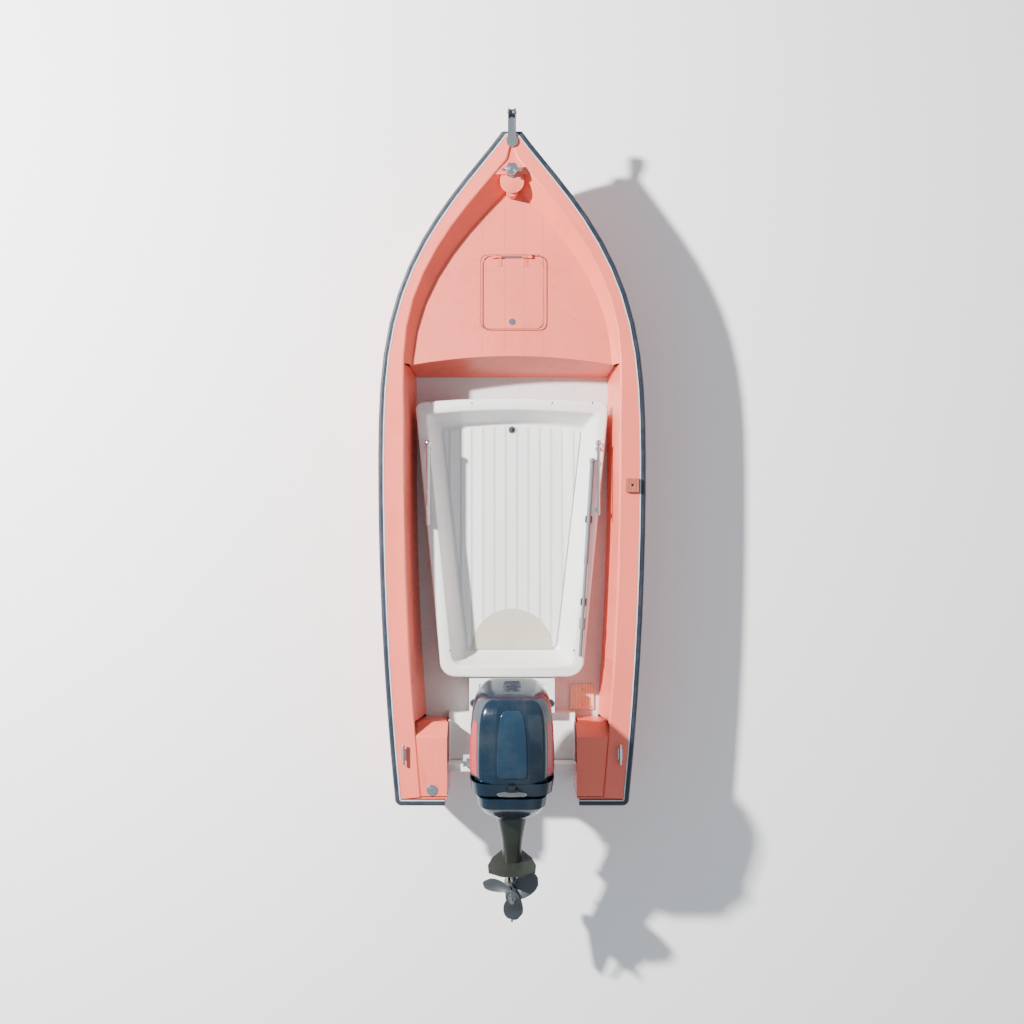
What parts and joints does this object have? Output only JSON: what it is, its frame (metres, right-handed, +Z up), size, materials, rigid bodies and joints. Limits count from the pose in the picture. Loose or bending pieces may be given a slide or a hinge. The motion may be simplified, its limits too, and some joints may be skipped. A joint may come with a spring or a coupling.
{
  "type": "outboard motor skiff",
  "caption": "small open fibreglass skiff with a pointed bow, recessed foredeck and hatch, drop-in cockpit tub, rub rail and a tilted outboard motor on a notched transom",
  "frame": {"origin": "on the centreline, under the keel strip, at half the length of the hull", "axes": "+X starboard, +Y towards the bow, +Z up"},
  "size_m": [1.6394, 4.9502, 1.2175],
  "materials": {
    "hull_gelcoat": "gloss",
    "deck_gelcoat": "satin",
    "white_gelcoat": "satin",
    "tan_nonskid": "matte",
    "panel_wood": "satin",
    "rail_rubber": "matte",
    "insert_vinyl": "satin",
    "polished_steel": "polished",
    "pole_metal": "satin",
    "tank_plastic": "satin",
    "battery_plastic": "satin",
    "bracket_paint": "satin",
    "leg_paint": "satin",
    "propeller_metal": "satin",
    "engine_metal": "satin",
    "cowl_gloss": "gloss",
    "trim_red": "gloss"
  },
  "bodies": {
    "boat": {"hull_shell": "hull_gelcoat", "keel_strip": "rail_rubber", "stringers": "panel_wood", "sponson_walls": "hull_gelcoat", "transom_board": "white_gelcoat", "deck_moulding": "deck_gelcoat", "foredeck": "deck_gelcoat", "bulkhead": "deck_gelcoat", "cockpit_sole": "white_gelcoat", "quarter_box_port": "deck_gelcoat", "quarter_box_starboard": "deck_gelcoat", "rub_rail": "rail_rubber", "rub_rail_insert": "insert_vinyl", "bow_pedestal": "deck_gelcoat", "bollard": "polished_steel", "stem_fitting": "polished_steel", "roller_pin": "polished_steel", "hatch_frame": "deck_gelcoat", "hatch_hinge": "polished_steel", "fuel_tank": "tank_plastic", "cockpit_tub": "white_gelcoat", "tub_floor": "white_gelcoat", "tan_mat": "tan_nonskid", "drain_ring": "polished_steel", "grab_rails": "polished_steel", "hook_clips": "rail_rubber", "locker_panel": "panel_wood", "rowlock_block": "panel_wood", "well_box": "white_gelcoat", "battery": "battery_plastic", "cable_grommets": "rail_rubber", "well_tray": "white_gelcoat", "cleats": "polished_steel", "filler_neck": "polished_steel", "clamp_brackets": "bracket_paint", "bracket_bolts": "polished_steel", "tilt_tube": "polished_steel"},
    "swivel": {"swivel_bracket": "bracket_paint"},
    "tilt_lever": {"tilt_lever": "polished_steel"},
    "steering_rod": {"steering_rod": "polished_steel"},
    "motor": {"king_pin": "bracket_paint", "motor_leg": "leg_paint", "gearcase": "leg_paint", "anode": "propeller_metal", "powerhead": "engine_metal", "lower_cowl": "cowl_gloss"},
    "cowl": {"upper_cowl": "cowl_gloss", "cowl_trim": "trim_red"},
    "cowl_latch": {"cowl_latch": "battery_plastic"},
    "drive": {"drive_shaft": "polished_steel", "flywheel": "engine_metal"},
    "propeller": {"propeller_shaft": "polished_steel", "propeller": "propeller_metal", "propeller_nut": "polished_steel"},
    "hatch": {"hatch_lid": "deck_gelcoat"},
    "hatch_latch": {"hatch_latch": "polished_steel"},
    "anchor_roller": {"anchor_roller": "rail_rubber"},
    "boat_hook": {"boat_hook": "pole_metal"},
    "filler_cap": {"filler_cap": "polished_steel"},
    "drain_plug": {"drain_plug": "rail_rubber"}
  },
  "joints": [
    {"name": "motor_tilt", "type": "hinge", "parent": "boat", "child": "swivel", "pos_m": [0, -1.8, 0.56], "axis": [-1, 0, 0], "range_deg": [-72, 3]},
    {"name": "steer", "type": "hinge", "parent": "swivel", "child": "motor", "pos_m": [0, -1.83399, 0.66462], "axis": [0, 0.9511, 0.309], "range_deg": [-28, 28]},
    {"name": "steering_rod_slide", "type": "slide", "parent": "swivel", "child": "steering_rod", "axis": [1, 0, 0], "range_m": [-0.0826, 0.0826]},
    {"name": "tilt_lever_swing", "type": "hinge", "parent": "swivel", "child": "tilt_lever", "pos_m": [0, -1.80584, 0.62329], "axis": [-1, 0, 0], "range_deg": [0, 30]},
    {"name": "cowl_lift", "type": "slide", "parent": "motor", "child": "cowl", "axis": [0, 0.9511, 0.309], "range_m": [0, 0.3]},
    {"name": "cowl_latch_swing", "type": "hinge", "parent": "motor", "child": "cowl_latch", "pos_m": [0, -1.86453, 1.14047], "axis": [1, 0, 0], "range_deg": [0, 60]},
    {"name": "drive_spin", "type": "hinge", "parent": "motor", "child": "drive", "pos_m": [0, -1.8618, 0.75021], "axis": [0, 0.9511, 0.309], "continuous": true},
    {"name": "propeller_spin", "type": "hinge", "parent": "motor", "child": "propeller", "pos_m": [0, -2.56772, 0.65754], "axis": [0, 0.309, -0.9511], "continuous": true},
    {"name": "hatch_open", "type": "hinge", "parent": "boat", "child": "hatch", "pos_m": [0, 1.311, 0.562], "axis": [-1, 0, 0], "range_deg": [0, 100]},
    {"name": "hatch_latch_turn", "type": "hinge", "parent": "hatch", "child": "hatch_latch", "pos_m": [0, 0.914, 0.553], "axis": [0, 0, 1], "range_deg": [-90, 0]},
    {"name": "anchor_roller_spin", "type": "hinge", "parent": "boat", "child": "anchor_roller", "pos_m": [0, 2.15, 0.746], "axis": [1, 0, 0], "continuous": true},
    {"name": "boat_hook_lift", "type": "slide", "parent": "boat", "child": "boat_hook", "axis": [0, 0, 1], "range_m": [0, 0.25]},
    {"name": "filler_cap_lift", "type": "slide", "parent": "boat", "child": "filler_cap", "axis": [0, 0, 1], "range_m": [0, 0.06]},
    {"name": "drain_plug_lift", "type": "slide", "parent": "boat", "child": "drain_plug", "axis": [0, 0, 1], "range_m": [0, 0.05]}
  ],
  "couplings": [
    {"joint": "steering_rod_slide", "follows": "steer", "m_per_rad": -0.1691},
    {"joint": "propeller_spin", "follows": "drive_spin", "ratio": 0.5}
  ]
}
